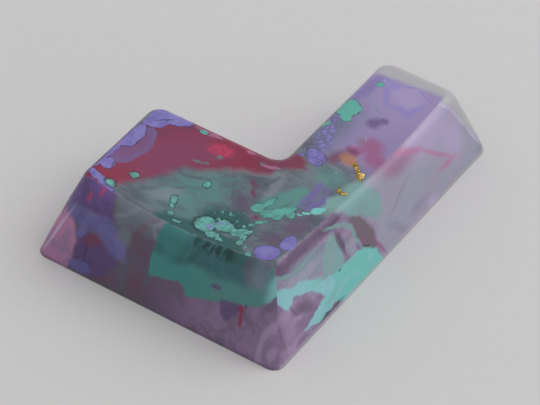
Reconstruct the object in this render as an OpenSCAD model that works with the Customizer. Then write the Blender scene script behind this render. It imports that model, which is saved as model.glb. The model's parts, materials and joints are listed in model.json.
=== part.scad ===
// L-shaped keycap cast in one piece of clear and pigmented resin, open underneath, with cross-socket stems.
// Millimetres. Origin at the middle of the footprint on the rim plane, +Y towards the end of the leg.

/* [Footprint] */
// Overall width of the row, about one and a half key pitches less the gap
row_w = 26.9; // [24:0.1:32]
// Overall depth, two key pitches less the gap
overall_d = 37.25; // [36:0.05:42]
// Depth of the row that runs to the left
row_d = 18.85; // [17:0.05:21]
// Width of the leg that runs to the back
leg_w = 12.9; // [12:0.1:15]
// Radius of the outer vertical corners at the rim
rim_r = 1.2; // [0.8:0.1:2.4]
// Radius of the vertical corner inside the notch
notch_r = 1.5; // [0.8:0.1:2.2]

/* [Sides and top] */
// How far the left and right walls lean in up to the crown height
side_lean = 3.05; // [1.5:0.05:3.2]
// How far the front and back walls lean in up to the crown height
front_lean = 3.55; // [1.5:0.05:3.7]
// Outward swell of the walls at mid height
swell = 0.12; // [0:0.01:0.4]
// Height of the crown, the front right corner where it would be sharp
crown_h = 9.8; // [9:0.1:12]
// Fall of the top from the crown to the left edge
fall_left = 0.5; // [0:0.1:1.5]
// Fall of the top from the crown to the back edge
fall_back = 1.75; // [0:0.05:2.4]
// Dip of the front edge between its corners
front_dip = 1.5; // [0:0.1:2]
// Dip of the right edge between its corners
right_dip = 1.05; // [0:0.05:1.8]
// Radius of the outer vertical corners at the top
top_r = 1.4; // [1:0.1:2.2]
// Radius that rounds the top edge over into the walls
edge_r = 0.8; // [0.3:0.05:0.9]

/* [Hollow underside] */
// Wall thickness
wall = 1.6; // [1.2:0.1:1.9]
// Height of the hollow's ceiling above the rim
ceiling_h = 5.3; // [4.8:0.1:5.8]
// Radius of the hollow's vertical corners
hollow_r = 1; // [0.5:0.1:1.4]

/* [Stems] */
// Diameter of a stem post
post_d = 5.5; // [5:0.1:5.8]
// Distance from the switch stem to each stabiliser stem
stem_pitch = 11.938; // [11.7:0.001:12.1]
// Height of the post ends above the rim
post_rise = 0.4; // [0.1:0.1:1]
// Length of each arm slot of the cross socket, tip to tip
cross_len = 4.1; // [4:0.01:4.2]
// Width of the slot that runs left to right
cross_w_x = 1.17; // [1.1:0.01:1.3]
// Width of the slot that runs front to back
cross_w_y = 1.32; // [1.2:0.01:1.4]
// Depth of the cross socket
socket_depth = 4; // [3.6:0.1:4.6]
// Length of the lead-in bevel at the socket's mouth
lead_in = 0.25; // [0.1:0.05:0.4]

/* [Hidden] */
$fn = 48;

arc_n = 6;
front_n = 10;
side_n = 13;
end_n = 6;
wall_n = 6;
round_n = 4;
cut = 1;
top_skin = 0.5;

half_w = row_w / 2;
half_d = overall_d / 2;
leg_x = half_w - leg_w / 2;

// Corner k of the footprint leaned in by ix and iy, anticlockwise from the front left
function corner(k, ix, iy) = [
    [-half_w + ix, -half_d + iy],
    [half_w - ix, -half_d + iy],
    [half_w - ix, half_d - iy],
    [half_w - leg_w + ix, half_d - iy],
    [half_w - leg_w + ix, -half_d + row_d - iy],
    [-half_w + ix, -half_d + row_d - iy]
][k % 6];

// Direction of the arc's centre and its first angle at each corner, the fifth being the hollow notch corner
centre_side = [[1, 1], [-1, 1], [-1, -1], [1, -1], [-1, 1], [1, -1]];
first_angle = [180, 270, 0, 90, 0, 90];
notch = 4;

// Point at fraction f of the way round the arc at corner k
function arc_point(k, f, ix, iy, r, rn) =
    let (
        own_r = k == notch ? rn : r,
        angle = first_angle[k] + (k == notch ? -90 : 90) * f
    )
    corner(k, ix, iy) + own_r * (centre_side[k] + [cos(angle), sin(angle)]);

// Points of the straight edge between the arcs of corners k and m, without its ends
function edge_points(k, m, n, ix, iy, r, rn) =
    let (a = arc_point(k, 1, ix, iy, r, rn), b = arc_point(m, 0, ix, iy, r, rn))
    [for (i = [1:n - 1]) a + (b - a) * i / n];

function arc_points(k, from, to, ix, iy, r, rn) =
    [for (i = [0:(to - from) * arc_n]) arc_point(k, from + i / arc_n, ix, iy, r, rn)];

// Closed outline, from the middle of the front left arc round to it again
function outline(ix, iy, r, rn) = concat(
    arc_points(0, 0.5, 1, ix, iy, r, rn),
    edge_points(0, 1, front_n, ix, iy, r, rn),
    arc_points(1, 0, 1, ix, iy, r, rn),
    edge_points(1, 2, side_n, ix, iy, r, rn),
    arc_points(2, 0, 1, ix, iy, r, rn),
    edge_points(2, 3, end_n, ix, iy, r, rn),
    arc_points(3, 0, 1, ix, iy, r, rn),
    edge_points(3, 4, side_n, ix, iy, r, rn),
    arc_points(4, 0, 1, ix, iy, r, rn),
    edge_points(4, 5, front_n, ix, iy, r, rn),
    arc_points(5, 0, 1, ix, iy, r, rn),
    edge_points(5, 0, end_n, ix, iy, r, rn),
    [for (i = [0:arc_n / 2 - 1]) arc_point(0, i / arc_n, ix, iy, r, rn)]
);

// Segments along the outer or notch side, and across an end
long_n = 2 * arc_n + front_n + side_n;
short_n = arc_n + end_n;
ring_n = 2 * (long_n + short_n);

rim_line = outline(0, 0, rim_r, notch_r);
crown_line = outline(side_lean, front_lean, top_r, notch_r);
inset_line = outline(side_lean + edge_r, front_lean + edge_r, top_r - edge_r, notch_r + edge_r);

function smooth(v) = let (c = min(1, max(0, v))) c * c * (3 - 2 * c);
function bow(v, half) = max(0, 1 - pow(v / half, 2));

top_half_w = half_w - side_lean;
top_half_d = half_d - front_lean;
row_edge = -half_d + row_d - front_lean;
leg_edge = half_w - leg_w + side_lean;

// Height of the top surface: a tilted plane with a dish that opens to the front and right edges
function top_z(p) =
    let (
        level = crown_h - fall_left * (top_half_w - p.x) / (2 * top_half_w)
            - fall_back * (p.y + top_half_d) / (2 * top_half_d),
        row_share = smooth((row_edge - p.y) / (row_edge + top_half_d)),
        leg_share = smooth((p.x - leg_edge) / (top_half_w - leg_edge))
    )
    level - front_dip * row_share * bow(p.x, top_half_w) - right_dip * leg_share * bow(p.y, top_half_d);

// Share of the full lean at height z, less the swell
function lean_share(z) = let (t = z / crown_h) t - 4 * swell / front_lean * t * (1 - t);
function wall_point(i, z) = rim_line[i] + (crown_line[i] - rim_line[i]) * lean_share(z);
function edge_z(i, z, tries) = tries == 0 ? z : edge_z(i, top_z(wall_point(i, z)), tries - 1);
function step_in(i) = (inset_line[i] - crown_line[i]) / edge_r;

edge_heights = [for (i = [0:ring_n - 1]) edge_z(i, crown_h, 4)];

function wall_ring(f) = [
    for (i = [0:ring_n - 1])
        let (z = (edge_heights[i] - edge_r) * f, p = wall_point(i, z)) [p.x, p.y, z]
];
function rounded_ring(a) = [
    for (i = [0:ring_n - 1])
        let (
            lower = edge_heights[i] - edge_r * (1 - sin(a)),
            p = wall_point(i, lower) + step_in(i) * edge_r * (1 - cos(a))
        )
        [p.x, p.y, top_z(p) - edge_r * (1 - sin(a))]
];
function flat_ring(line, z) = [for (p = line) [p.x, p.y, z]];

// Index of the ring point at step s along the outer side and t across to the notch side, or -1 inside
function ring_index(s, t) =
    t == 0 ? s
    : t == short_n ? 2 * long_n + short_n - s
    : s == 0 ? (ring_n - t) % ring_n
    : s == long_n ? long_n + t
    : -1;

// Blend of the four sides of a ring at step s and t
function patch_point(ring, s, t) =
    let (
        u = s / long_n,
        v = t / short_n,
        across = ring[ring_index(s, 0)] * (1 - v) + ring[ring_index(s, short_n)] * v,
        along = ring[ring_index(0, t)] * (1 - u) + ring[ring_index(long_n, t)] * u,
        near = ring[ring_index(0, 0)] * (1 - u) + ring[ring_index(long_n, 0)] * u,
        far = ring[ring_index(0, short_n)] * (1 - u) + ring[ring_index(long_n, short_n)] * u
    )
    across + along - near * (1 - v) - far * v;

inner_n = (long_n - 1) * (short_n - 1);
function patch_points(ring) =
    [for (s = [1:long_n - 1]) for (t = [1:short_n - 1]) patch_point(ring, s, t)];
function patch_index(s, t, ring_start, patch_start) =
    ring_index(s, t) >= 0 ? ring_start + ring_index(s, t)
    : patch_start + (s - 1) * (short_n - 1) + t - 1;

function quad(a, b, c, d) = [[a, b, c], [a, c, d]];
function flat_list(lists) = [for (l = lists) for (e = l) e];
function patch_faces(ring_start, patch_start, up) = flat_list([
    for (s = [0:long_n - 1]) for (t = [0:short_n - 1])
        let (
            a = patch_index(s, t, ring_start, patch_start),
            b = patch_index(s, t + 1, ring_start, patch_start),
            c = patch_index(s + 1, t + 1, ring_start, patch_start),
            d = patch_index(s + 1, t, ring_start, patch_start)
        )
        up ? quad(a, b, c, d) : quad(a, d, c, b)
]);
function side_faces(levels) = flat_list([
    for (k = [0:levels - 2]) for (i = [0:ring_n - 1])
        let (j = (i + 1) % ring_n, low = k * ring_n, high = low + ring_n)
        quad(low + i, high + i, high + j, low + j)
]);

// Closed solid through a stack of rings, with a blended patch over each end
module loft(rings, crown_patch) {
    ring_points = flat_list(rings);
    bottom_start = len(ring_points);
    top_start = bottom_start + inner_n;
    polyhedron(
        points = concat(ring_points, patch_points(rings[0]), crown_patch),
        faces = concat(
            side_faces(len(rings)),
            patch_faces(0, bottom_start, false),
            patch_faces((len(rings) - 1) * ring_n, top_start, true)
        ),
        convexity = 6
    );
}

module outer_form() {
    rings = concat(
        [for (k = [0:wall_n]) wall_ring(k / wall_n)],
        [for (k = [1:round_n]) rounded_ring(90 * k / round_n)]
    );
    dish = [for (p = patch_points(rings[len(rings) - 1])) [p.x, p.y, top_z(p)]];
    loft(rings, dish);
}

// The hollow keeps the wall thickness and leans with the walls
module hollow_form() {
    share = lean_share(ceiling_h);
    low = lean_share(-cut);
    mouth = outline(wall + side_lean * low, wall + front_lean * low, hollow_r, notch_r + wall);
    roof = outline(wall + side_lean * share, wall + front_lean * share, hollow_r, notch_r + wall);
    rings = [flat_ring(mouth, -cut), flat_ring(roof, ceiling_h)];
    loft(rings, patch_points(rings[1]));
}

module stem_post() {
    translate([0, 0, post_rise]) cylinder(d = post_d, h = ceiling_h + top_skin - post_rise);
}

module cross_socket() {
    for (slot = [[cross_len, cross_w_x], [cross_w_y, cross_len]])
        translate([-slot.x / 2, -slot.y / 2, post_rise - cut])
            cube([slot.x, slot.y, socket_depth + cut]);
    translate([0, 0, post_rise - cut])
        cylinder(d = cross_w_y + 2 * lead_in, h = cut + lead_in);
}

module at_stems() {
    for (k = [-1:1]) translate([leg_x, k * stem_pitch, 0]) children();
}

module keycap() {
    color("mediumpurple") difference() {
        union() {
            difference() {
                outer_form();
                hollow_form();
            }
            at_stems() stem_post();
        }
        at_stems() cross_socket();
    }
}

keycap();
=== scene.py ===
import json
import math

import bmesh
import bpy
import numpy as np
from mathutils import Matrix, Vector

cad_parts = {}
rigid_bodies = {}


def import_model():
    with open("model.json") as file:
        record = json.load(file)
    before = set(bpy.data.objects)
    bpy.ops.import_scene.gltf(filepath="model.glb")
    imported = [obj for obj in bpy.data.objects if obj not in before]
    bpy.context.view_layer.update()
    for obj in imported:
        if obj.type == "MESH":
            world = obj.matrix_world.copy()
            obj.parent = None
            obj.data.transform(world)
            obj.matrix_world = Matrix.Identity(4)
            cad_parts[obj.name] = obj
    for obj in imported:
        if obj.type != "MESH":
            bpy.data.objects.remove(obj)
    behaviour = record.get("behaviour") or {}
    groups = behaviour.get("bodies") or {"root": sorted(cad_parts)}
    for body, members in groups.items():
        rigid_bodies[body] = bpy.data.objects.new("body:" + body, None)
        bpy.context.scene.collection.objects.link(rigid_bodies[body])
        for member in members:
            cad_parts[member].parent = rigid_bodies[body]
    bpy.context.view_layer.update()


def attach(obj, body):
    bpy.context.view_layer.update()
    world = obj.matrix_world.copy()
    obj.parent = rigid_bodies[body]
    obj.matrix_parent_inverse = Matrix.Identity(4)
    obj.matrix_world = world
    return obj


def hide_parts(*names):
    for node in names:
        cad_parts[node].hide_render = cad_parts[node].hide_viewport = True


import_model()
mm = 0.001


def tint(red, green, blue):
    levels = (red / 255, green / 255, blue / 255)
    return tuple(((v + 0.055) / 1.055) ** 2.4 if v > 0.04 else v / 12.92 for v in levels)


# Cap body, in millimetres: the same form as the CAD solid, with finer steps
cap = dict(
    rowWidth=26.9, overallDepth=37.25, rowDepth=18.85, legWidth=12.9,
    rimRadius=1.2, topRadius=1.4, notchRadius=1.5,
    sideLean=3.05, frontLean=3.55, swell=0.12,
    crown=9.8, fallLeft=0.5, fallBack=1.75, frontDip=1.5, rightDip=1.05,
    edgeRadius=0.8, rimEase=0.1,
    wall=1.6, ceiling=5.3, hollowRadius=1.0, smallestRadius=0.2, ceilingFillet=0.5,
    arcSteps=12, frontSteps=60, sideSteps=80, endSteps=30, wallSteps=24, roundSteps=10,
    filletSteps=6, hollowSteps=8, heightRounds=6, sharpDegrees=35,
)


def easeShare(v):
    c = np.clip(v, 0, 1)
    return c * c * (3 - 2 * c)


def liftRing(plan, z):
    return np.column_stack([plan, z])


class CapShape:
    # Rings of the footprint with equal point counts, so that any two can be joined
    def __init__(self, s):
        self.s = s
        self.halfW, self.halfD = s["rowWidth"] / 2, s["overallDepth"] / 2
        self.topW, self.topD = self.halfW - s["sideLean"], self.halfD - s["frontLean"]
        self.rowEdge = -self.halfD + s["rowDepth"] - s["frontLean"]
        self.legEdge = self.halfW - s["legWidth"] + s["sideLean"]
        self.longSide = 2 * s["arcSteps"] + s["frontSteps"] + s["sideSteps"]
        self.shortSide = s["arcSteps"] + s["endSteps"]
        self.rim = self.ring(0, 0, s["rimRadius"], s["notchRadius"])
        self.crown = self.ring(s["sideLean"], s["frontLean"], s["topRadius"], s["notchRadius"])
        e = s["edgeRadius"]
        radii = s["topRadius"] - e, s["notchRadius"] + e
        self.inset = self.ring(s["sideLean"] + e, s["frontLean"] + e, *radii)

    def corner(self, k, insetX, insetY):
        w, d = self.halfW, self.halfD
        legX, rowY = w - self.s["legWidth"] + insetX, -d + self.s["rowDepth"] - insetY
        left, right, front, back = -w + insetX, w - insetX, -d + insetY, d - insetY
        places = [(left, front), (right, front), (right, back), (legX, back), (legX, rowY), (left, rowY)]
        return np.array(places[k % 6])

    def arc(self, k, share, insetX, insetY, radius, notch):
        centre = np.array([(1, 1), (-1, 1), (-1, -1), (1, -1), (-1, 1), (1, -1)][k])
        turn = -90 if k == 4 else 90
        angle = math.radians([180, 270, 0, 90, 0, 90][k] + turn * share)
        own = notch if k == 4 else radius
        direction = np.array((math.cos(angle), math.sin(angle)))
        return self.corner(k, insetX, insetY) + own * (centre + direction)

    def ring(self, insetX, insetY, radius, notch):
        n, s = self.s["arcSteps"], self.s
        form = insetX, insetY, radius, notch
        points = [self.arc(0, 0.5 + i / n, *form) for i in range(n // 2 + 1)]
        for k, name in enumerate(("front", "side", "end", "side", "front", "end")):
            steps = s[name + "Steps"]
            following = (k + 1) % 6
            a, b = self.arc(k, 1, *form), self.arc(following, 0, *form)
            points += [a + (b - a) * i / steps for i in range(1, steps)]
            points += [self.arc(following, i / n, *form) for i in range(n + 1 if k < 5 else n // 2)]
        return np.array(points)

    def topHeight(self, p):
        # A tilted plane with a dish that opens to the front and right edges
        s, x, y = self.s, p[:, 0], p[:, 1]
        level = s["crown"] - s["fallLeft"] * (self.topW - x) / (2 * self.topW)
        level = level - s["fallBack"] * (y + self.topD) / (2 * self.topD)
        rowShare = easeShare((self.rowEdge - y) / (self.rowEdge + self.topD))
        legShare = easeShare((x - self.legEdge) / (self.topW - self.legEdge))
        dip = s["frontDip"] * rowShare * np.maximum(0, 1 - (x / self.topW) ** 2)
        return level - dip - s["rightDip"] * legShare * np.maximum(0, 1 - (y / self.topD) ** 2)

    def lean(self, z):
        t = z / self.s["crown"]
        return t - 4 * self.s["swell"] / self.s["frontLean"] * t * (1 - t)

    def wallAt(self, z):
        return self.rim + (self.crown - self.rim) * self.lean(z)[:, None]

    def edgeHeights(self):
        z = np.full(len(self.rim), float(self.s["crown"]))
        for _ in range(self.s["heightRounds"]):
            z = self.topHeight(self.wallAt(z))
        return z

    def ringIndex(self, i, j):
        total = 2 * (self.longSide + self.shortSide)
        if j == 0:
            return i
        if j == self.shortSide:
            return 2 * self.longSide + self.shortSide - i
        if i == 0:
            return (total - j) % total
        return self.longSide + j if i == self.longSide else -1

    def patch(self, ring):
        # Inner points of a surface blended from the ring's four sides
        m, n = self.longSide, self.shortSide
        u = np.linspace(0, 1, m + 1)[1:-1, None, None]
        v = np.linspace(0, 1, n + 1)[None, 1:-1, None]
        near = ring[[self.ringIndex(i, 0) for i in range(1, m)]][:, None]
        far = ring[[self.ringIndex(i, n) for i in range(1, m)]][:, None]
        left = ring[[self.ringIndex(0, j) for j in range(1, n)]][None]
        right = ring[[self.ringIndex(m, j) for j in range(1, n)]][None]
        a, b, c, d = (ring[self.ringIndex(i, j)] for i, j in ((0, 0), (m, 0), (0, n), (m, n)))
        blend = near * (1 - v) + far * v + left * (1 - u) + right * u
        blend = blend - (a * (1 - u) + b * u) * (1 - v) - (c * (1 - u) + d * u) * v
        return blend.reshape(-1, 3)


def hollowRing(shape, z, inwards):
    s = shape.s
    share = float(shape.lean(np.array([z]))[0])
    insetX = s["wall"] + s["sideLean"] * share + inwards
    insetY = s["wall"] + s["frontLean"] * share + inwards
    radius = max(s["smallestRadius"], s["hollowRadius"] - inwards)
    plan = shape.ring(insetX, insetY, radius, s["notchRadius"] + s["wall"] + inwards)
    return liftRing(plan, np.full(len(plan), z))


def capRings(shape):
    # From the hollow's ceiling down to its mouth, across the rim and up the outside
    s, total = shape.s, len(shape.rim)
    fillet = s["ceilingFillet"]
    rings = [hollowRing(shape, s["ceiling"] - fillet * (1 - math.cos(a)), fillet * (1 - math.sin(a)))
             for a in np.radians(np.linspace(0, 90, s["filletSteps"]))]
    for z in np.linspace(s["ceiling"] - fillet, 0, s["hollowSteps"])[1:]:
        rings.append(hollowRing(shape, z, 0))
    ease = s["rimEase"]
    for a in np.radians((0, 30, 60)):
        drawnIn = ease * (1 - math.sin(a))
        plan = shape.ring(drawnIn, drawnIn, s["rimRadius"] - drawnIn, s["notchRadius"] + drawnIn)
        rings.append(liftRing(plan, np.full(total, ease * (1 - math.cos(a)))))
    heights, e = shape.edgeHeights(), s["edgeRadius"]
    for k in range(s["wallSteps"] + 1):
        z = ease + (heights - e - ease) * k / s["wallSteps"]
        rings.append(liftRing(shape.wallAt(z), z))
    stepIn = (shape.inset - shape.crown) / e
    for k in range(1, s["roundSteps"] + 1):
        a = math.radians(90 * k / s["roundSteps"])
        drop = e * (1 - math.sin(a))
        p = shape.wallAt(heights - drop) + stepIn * e * (1 - math.cos(a))
        rings.append(liftRing(p, shape.topHeight(p) - drop))
    return rings


def capFaces(shape, ringCount, roofStart, topStart):
    total = len(shape.rim)
    faces = []
    for k in range(ringCount - 1):
        for i in range(total):
            j = (i + 1) % total
            low, high = k * total, (k + 1) * total
            faces.append((low + i, low + j, high + j, high + i))
    for ringStart, innerStart, upward in ((0, roofStart, False), ((ringCount - 1) * total, topStart, True)):
        for i in range(shape.longSide):
            for j in range(shape.shortSide):
                quad = []
                for a, b in ((i, j), (i + 1, j), (i + 1, j + 1), (i, j + 1)):
                    k = shape.ringIndex(a, b)
                    inner = innerStart + (a - 1) * (shape.shortSide - 1) + b - 1
                    quad.append(ringStart + k if k >= 0 else inner)
                faces.append(quad if upward else quad[::-1])
    return faces


# Stem posts, in millimetres
posts = dict(
    diameter=5.5, pitch=11.938, rise=0.4, armLength=4.1, slotAcross=1.17, slotAlong=1.32,
    depth=4.0, leadIn=0.25, armLead=0.6, footBevel=0.12, steps=48, overlap=0.2,
)


def crossLoop(build, centre, armLength, slotAcross, slotAlong, z):
    a, h, w = armLength / 2, slotAcross / 2, slotAlong / 2
    quarter = [(a, -h), (a, h), (w, h), (w, a), (-w, a), (-w, h)]
    outline = quarter + [(-x, -y) for x, y in quarter]
    return [build.verts.new((centre[0] + x, centre[1] + y, z)) for x, y in outline]


def drumLoop(build, centre, radius, z, steps):
    angles = [2 * math.pi * i / steps for i in range(steps)]
    x, y = centre
    return [build.verts.new((x + radius * math.cos(a), y + radius * math.sin(a), z)) for a in angles]


def joinLoops(build, low, high):
    for i in range(len(low)):
        j = (i + 1) % len(low)
        build.faces.new((low[i], low[j], high[j], high[i]))


def addPost(build, s, centre, ceiling):
    # A drum with a cross-shaped blind hole in its lower end
    radius, rise, bevel, foot = s["diameter"] / 2, s["rise"], s["leadIn"], s["footBevel"]
    mouthArm = s["armLength"] + bevel * s["armLead"]
    base = drumLoop(build, centre, radius - foot, rise, s["steps"])
    side = drumLoop(build, centre, radius, rise + foot, s["steps"])
    head = drumLoop(build, centre, radius, ceiling + s["overlap"], s["steps"])
    joinLoops(build, base, side)
    joinLoops(build, side, head)
    build.faces.new(head)
    slots = s["armLength"], s["slotAcross"], s["slotAlong"]
    mouth = crossLoop(build, centre, mouthArm, slots[1] + bevel, slots[2] + bevel, rise)
    throat = crossLoop(build, centre, *slots, rise + bevel)
    bottom = crossLoop(build, centre, *slots, rise + s["depth"])
    joinLoops(build, throat, mouth)
    joinLoops(build, bottom, throat)
    build.faces.new(bottom[::-1])
    edges = [build.edges.get((ring[i - 1], ring[i])) for ring in (base, mouth) for i in range(len(ring))]
    bmesh.ops.triangle_fill(build, edges=edges, use_beauty=True, normal=(0, 0, -1))


def makeCap(s, postSettings):
    shape = CapShape(s)
    rings = capRings(shape)
    roof = shape.patch(rings[0])
    top = shape.patch(rings[-1])
    top[:, 2] = shape.topHeight(top)
    points = np.concatenate(rings + [roof, top])
    roofStart = sum(len(r) for r in rings)
    mesh = bpy.data.meshes.new("capBody")
    faces = capFaces(shape, len(rings), roofStart, roofStart + len(roof))
    mesh.from_pydata([tuple(p) for p in points], [], faces)
    build = bmesh.new()
    for k in (-1, 0, 1):
        centre = shape.halfW - s["legWidth"] / 2, k * postSettings["pitch"]
        addPost(build, postSettings, centre, s["ceiling"])
    bmesh.ops.recalc_face_normals(build, faces=build.faces)
    build.from_mesh(mesh)
    build.to_mesh(mesh)
    build.free()
    mesh.transform(Matrix.Scale(mm, 4))
    mesh.polygons.foreach_set("use_smooth", [True] * len(mesh.polygons))
    mesh.set_sharp_from_angle(angle=math.radians(s["sharpDegrees"]))
    mesh.update()
    piece = bpy.data.objects.new("capBody", mesh)
    bpy.context.scene.collection.objects.link(piece)
    print("cap body:", len(mesh.polygons), "faces")
    return piece, shape


capBody, capShape = makeCap(cap, posts)


class Wire:
    # A node socket that takes part in arithmetic
    def __init__(self, paint, socket):
        self.paint, self.socket = paint, socket

    def __add__(self, other):
        return self.paint.maths("ADD", self, other)

    def __radd__(self, other):
        return self.paint.maths("ADD", other, self)

    def __sub__(self, other):
        return self.paint.maths("SUBTRACT", self, other)

    def __rsub__(self, other):
        return self.paint.maths("SUBTRACT", other, self)

    def __mul__(self, other):
        return self.paint.maths("MULTIPLY", self, other)

    def least(self, other):
        return self.paint.maths("MINIMUM", self, other)

    def most(self, other):
        return self.paint.maths("MAXIMUM", self, other)

    def size(self):
        return self.paint.maths("ABSOLUTE", self)


def stroke(start, end, width):
    # A long spot from start to end
    dx, dy = end[0] - start[0], end[1] - start[1]
    middle = (start[0] + end[0]) / 2, (start[1] + end[1]) / 2
    return (*middle, math.hypot(dx, dy) / 2 + width, width, math.degrees(math.atan2(dy, dx)))


class Paint:
    # Builds one material's node tree
    def __init__(self, name):
        self.material = bpy.data.materials.new(name)
        self.material.use_nodes = True
        self.tree = self.material.node_tree
        self.shader = self.tree.nodes["Principled BSDF"]

    def node(self, kind, settings=None, inputs=None):
        made = self.tree.nodes.new(kind)
        for key, value in (settings or {}).items():
            setattr(made, key, value)
        for key, value in (inputs or {}).items():
            self.feed(made.inputs[key], value)
        return made

    def feed(self, socket, value):
        if isinstance(value, Wire):
            self.tree.links.new(value.socket, socket)
        elif socket.type == "RGBA" and len(value) == 3:
            socket.default_value = (*value, 1)
        else:
            socket.default_value = value

    def maths(self, operation, *values):
        made = self.node("ShaderNodeMath", {"operation": operation}, dict(enumerate(values)))
        return Wire(self, made.outputs[0])

    def vector(self, operation, *values):
        made = self.node("ShaderNodeVectorMath", {"operation": operation})
        for index, value in enumerate(values):
            self.feed(made.inputs["Scale"] if operation == "SCALE" and index else made.inputs[index], value)
        return Wire(self, made.outputs["Value" if operation in ("LENGTH", "DOT_PRODUCT") else "Vector"])

    def ramp(self, value, start, end, low=0.0, high=1.0):
        made = self.node("ShaderNodeMapRange", {"interpolation_type": "SMOOTHSTEP"}, {
            "Value": value, "From Min": start, "From Max": end, "To Min": low, "To Max": high})
        return Wire(self, made.outputs["Result"])

    def mix(self, share, first, second):
        made = self.node("ShaderNodeMix", {"data_type": "RGBA"})
        self.feed(made.inputs[0], share)
        self.feed(made.inputs[6], first)
        self.feed(made.inputs[7], second)
        return Wire(self, made.outputs[2])

    def blend(self, value, start, end, first, second):
        return self.mix(self.ramp(value, start, end), first, second)

    def own(self):
        return Wire(self, self.node("ShaderNodeTexCoord").outputs["Object"])

    def noise(self, place, scale, detail=2.0, roughness=0.5, output="Fac"):
        made = self.node("ShaderNodeTexNoise", None, {
            "Vector": place, "Scale": scale, "Detail": detail, "Roughness": roughness})
        return Wire(self, made.outputs[output])

    def cells(self, place, scale):
        made = self.node("ShaderNodeTexVoronoi", None, {"Vector": place, "Scale": scale})
        return Wire(self, made.outputs["Distance"])

    def mapped(self, place, turn, scale):
        made = self.node("ShaderNodeMapping", None, {
            "Vector": place, "Rotation": (0, 0, math.radians(turn)), "Scale": (*scale, 1)})
        return Wire(self, made.outputs[0])

    def flat(self, across, up, rest=1.0):
        # The third part is 1, so a dot product can add an offset
        made = self.node("ShaderNodeCombineXYZ", None, {"X": across, "Y": up, "Z": rest})
        return Wire(self, made.outputs[0])

    def apart(self, place):
        made = self.node("ShaderNodeSeparateXYZ", None, {"Vector": place})
        return [Wire(self, output) for output in made.outputs]

    def warp(self, place, scale, reach, detail=2.0):
        # Pushes places about by a colour noise, at most reach each way
        push = self.vector("SUBTRACT", self.noise(place, scale, detail, output="Color"), (0.5, 0.5, 0.5))
        push = self.vector("MULTIPLY", push, (2 * reach, 2 * reach, 0))
        return self.vector("ADD", place, push)

    def within(self, place, outline):
        # 1 plus the distance out of a convex outline in millimetres
        ends = outline[1:] + outline[:1]
        side = 1 if sum(a[0] * b[1] - b[0] * a[1] for a, b in zip(outline, ends)) > 0 else -1
        worst = None
        for a, b in zip(outline, ends):
            along = Vector((b[0] - a[0], b[1] - a[1])).normalized() * side
            shift = 1 - along.y * a[0] + along.x * a[1]
            out = self.vector("DOT_PRODUCT", place, (along.y, -along.x, shift))
            worst = out if worst is None else worst.most(out)
        return worst

    def reach(self, place, spot):
        # 1 on a spot's outline. A spot is x, y, half width, half height and turn,
        # or a stroke's start, end and width, or a convex outline
        if isinstance(spot[-1], tuple):
            return self.within(place, spot)
        if isinstance(spot[0], tuple):
            spot = stroke(*spot)
        x, y, wide, high = spot[:4]
        if len(spot) < 5:
            moved = self.vector("MULTIPLY_ADD", place, (1 / wide, 1 / high, 0), (-x / wide, -y / high, 0))
            return self.vector("LENGTH", moved)
        c, s = math.cos(math.radians(spot[4])), math.sin(math.radians(spot[4]))
        across = self.vector("DOT_PRODUCT", place, (c / wide, s / wide, -(x * c + y * s) / wide))
        up = self.vector("DOT_PRODUCT", place, (-s / high, c / high, (x * s - y * c) / high))
        return self.vector("LENGTH", self.flat(across, up, 0.0))

    def reaches(self, place, spots):
        nearest = self.reach(place, spots[0])
        for spot in spots[1:]:
            nearest = nearest.least(self.reach(place, spot))
        return nearest

    def spots(self, place, spots, soft):
        return self.ramp(self.reaches(place, spots), 1 + soft, 1 - soft)

    def layer(self, tone, place, spots, soft, share, colour):
        # Lays a colour over a tone inside the spots
        cover = self.spots(place, spots, soft)
        return self.mix(cover if share == 1 else cover * share, tone, colour)

    def layers(self, tone, marks, colours, rows):
        # Each row: place, the spots' name, how soft their edge is, strength and the colour's name
        for place, name, soft, share, colour in rows:
            tone = self.layer(tone, place, marks[name], soft, share, colours[colour])
        return tone

    def beyond(self, place, start, end, soft=0.2):
        # The side to the left of a line from start to end
        along = Vector((end[0] - start[0], end[1] - start[1])).normalized()
        shift = along.y * start[0] - along.x * start[1]
        return self.ramp(self.vector("DOT_PRODUCT", place, (-along.y, along.x, shift)), -soft, soft)


# Pigments of the casting, as red, green and blue of 255; among them are a pale painted highlight colour and
# dark colours that also paint shade rims
levels = dict(
    smokeDark=(78, 86, 98), smoke=(104, 114, 124), smokePale=(128, 136, 144), smokeTeal=(86, 122, 122),
    haze=(102, 108, 132), lilacHaze=(138, 124, 166), endHaze=(148, 134, 177), lilac=(110, 102, 172),
    lilacPale=(128, 120, 186), lilacDull=(104, 96, 150), crackAndShade=(52, 44, 92), crimson=(132, 26, 60),
    plum=(128, 56, 90), rose=(186, 52, 88), magenta=(146, 80, 126), teal=(88, 166, 152),
    tealSoft=(82, 134, 128), tealDeep=(40, 88, 86), tealBand=(54, 128, 124), tealBlackAndShade=(20, 56, 56),
    turquoise=(112, 190, 184), turquoisePale=(118, 160, 156), turquoiseBlue=(138, 194, 202),
    mauve=(130, 106, 142), mauvePale=(156, 134, 168), mauveDark=(92, 70, 100), pinkMauve=(176, 118, 156),
    indigo=(90, 84, 140), violet=(82, 62, 108), wine=(106, 50, 78), murk=(86, 76, 92),
    greyLilac=(156, 150, 170), blueHaze=(152, 154, 174), lightLilac=(178, 162, 200), clear=(172, 172, 176),
    paintedHighlight=(196, 186, 208), greyTeal=(128, 150, 162), cell=(100, 172, 164), purple=(98, 76, 132),
    fallTeal=(124, 166, 166), corner=(52, 100, 108), softRose=(184, 108, 152), orange=(168, 112, 80),
    brown=(112, 98, 110),
)
pigment = {name: tint(*level) for name, level in levels.items()}

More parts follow.
